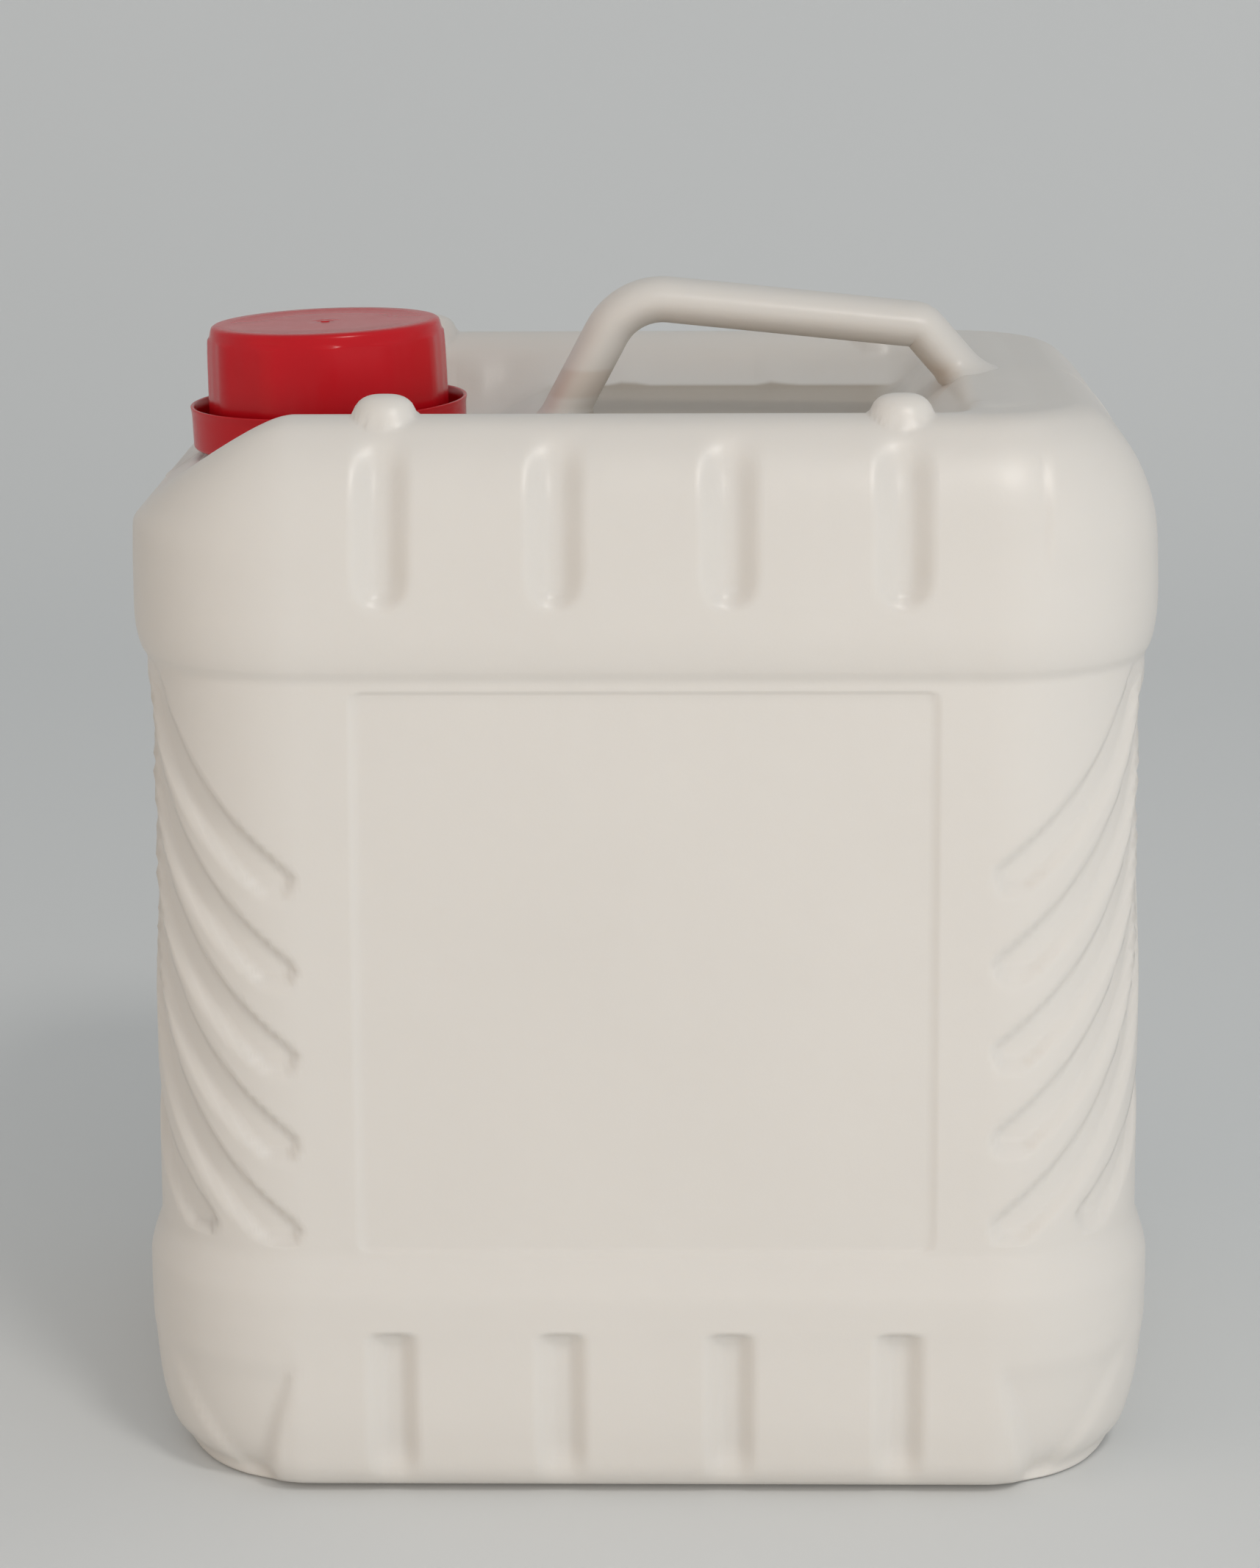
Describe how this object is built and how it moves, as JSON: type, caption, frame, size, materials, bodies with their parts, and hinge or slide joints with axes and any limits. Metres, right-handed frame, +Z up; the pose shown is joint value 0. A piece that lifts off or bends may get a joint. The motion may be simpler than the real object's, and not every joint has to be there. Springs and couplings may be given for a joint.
{
  "type": "plastic jerrycan",
  "caption": "Stackable plastic jerrycan with a carrying handle moulded over its top, a recessed label panel and a screw cap on a neck at one end.",
  "frame": {"origin": "middle of the base, at the height that it stands on", "axes": "+Z up, +X to the right with the neck at the left end, the front face with its label panel looks along -Y"},
  "size_m": [0.2, 0.16, 0.2312],
  "materials": {
    "shell": "satin",
    "closure": "gloss",
    "liner": "matte"
  },
  "bodies": {
    "can": {"can_body": "shell", "tamper_ring": "closure"},
    "liner": {"sealing_disc": "liner"},
    "closure": {"cap": "closure"}
  },
  "joints": [
    {"name": "cap_lift", "type": "slide", "parent": "can", "child": "liner", "axis": [-0.0305, 0, 0.9995], "range_m": [0, 0.02]},
    {"name": "cap_turn", "type": "hinge", "parent": "liner", "child": "closure", "pos_m": [-0.0653, 0, 0.195], "axis": [-0.0305, 0, 0.9995], "range_deg": [0, 1440]}
  ],
  "couplings": [
    {"joint": "cap_lift", "follows": "cap_turn", "m_per_rad": 0.00079577}
  ]
}
